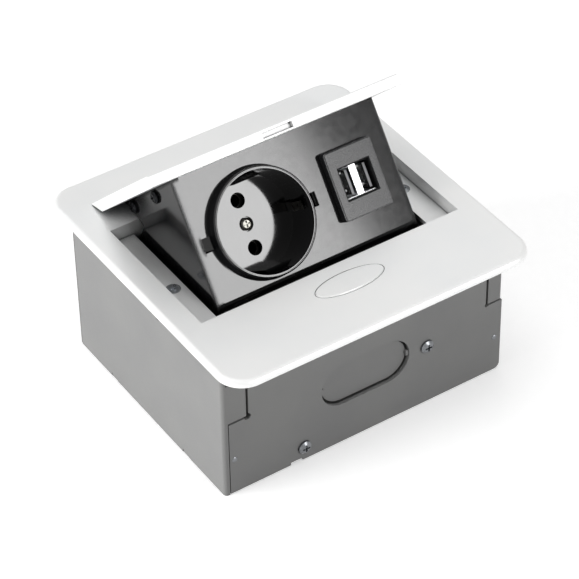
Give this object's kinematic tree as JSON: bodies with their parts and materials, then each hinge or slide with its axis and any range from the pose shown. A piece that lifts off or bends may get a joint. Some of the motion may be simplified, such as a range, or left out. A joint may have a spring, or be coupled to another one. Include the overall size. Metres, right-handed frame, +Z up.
{
  "type": "in-desk power module",
  "caption": "Pop-up in-desk power module: satin aluminium frame with push button, sprung lid and tray carrying a mains socket and twin USB ports, over a sheet metal box.",
  "frame": {"origin": "middle of the box's underside, below the centre of the frame", "axes": "X runs along the lid's hinge, Y from the button towards the hinge, Z up out of the desk top"},
  "size_m": [0.1366, 0.135, 0.1098],
  "materials": {
    "satin_aluminium": "satin, pale",
    "grey_sheet": "satin grey",
    "bright_steel": "zinc plated",
    "spring_steel": "drawn and hardened",
    "tinned_steel": "tin plated",
    "plated_brass": "nickel plated",
    "dark_paint": "glossy dark grey",
    "black_gloss_plastic": "glossy",
    "black_plastic": "moulded",
    "grey_plastic": "moulded",
    "nylon": "natural",
    "black_rubber": "smooth",
    "board_green": "solder resist",
    "winding_amber": "wrapped",
    "terminal_green": "moulded"
  },
  "bodies": {
    "housing": {"top_frame": "satin_aluminium", "left_panel": "grey_sheet", "right_panel": "grey_sheet", "front_panel": "grey_sheet", "rear_panel": "grey_sheet", "bottom_panel": "grey_sheet", "panel_rivets": "grey_sheet", "ledge_screws": "bright_steel", "frame_screws": "bright_steel", "panel_screws": "bright_steel", "panel_nuts": "bright_steel", "hinge_bracket_left": "bright_steel", "hinge_bracket_right": "bright_steel", "hinge_pin_left": "bright_steel", "hinge_pin_right": "bright_steel", "latch_housing_screws": "bright_steel", "pin_clips": "spring_steel", "torsion_spring_left": "spring_steel", "torsion_spring_right": "spring_steel", "latch_spring": "spring_steel", "button_springs": "spring_steel", "latch_housing": "black_plastic", "hinge_washers": "nylon"},
    "tray": {"lid": "satin_aluminium", "tray_shell": "dark_paint", "cheek_screws": "bright_steel", "rear_cover": "black_plastic", "cover_screws": "bright_steel", "cable_grommet": "black_rubber", "socket_front": "black_gloss_plastic", "socket_base": "black_plastic", "socket_screw": "bright_steel", "contact_upper": "plated_brass", "contact_lower": "plated_brass", "terminal_screws": "bright_steel", "earth_clip": "plated_brass", "usb_housing": "grey_plastic", "usb_port_block": "black_gloss_plastic", "usb_port_shell": "tinned_steel", "usb_tongue_left": "grey_plastic", "usb_tongue_right": "grey_plastic", "usb_circuit_board": "board_green", "usb_transformer": "winding_amber", "usb_terminal_block": "terminal_green"},
    "button": {"button_cap": "satin_aluminium"},
    "latch": {"latch_bolt": "nylon"}
  },
  "joints": [
    {"name": "tray_hinge", "type": "hinge", "parent": "housing", "child": "tray", "pos_m": [0, 0.0423, 0.0422], "axis": [1, 0, 0], "range_deg": [0, 43.3], "stiffness_Nm_per_rad": 0.15, "springref_deg": -91.67, "deforming": ["torsion_spring_left", "torsion_spring_right"]},
    {"name": "button_press", "type": "slide", "parent": "housing", "child": "button", "axis": [0, 0, -1], "range_m": [0, 0.002], "stiffness_N_per_m": 400, "springref_m": -0.002, "deforming": ["button_springs"]},
    {"name": "latch_slide", "type": "slide", "parent": "housing", "child": "latch", "axis": [0, -1, 0], "range_m": [0, 0.002], "deforming": ["latch_spring"]}
  ],
  "couplings": [
    {"joint": "latch_slide", "follows": "button_press", "ratio": 1}
  ]
}
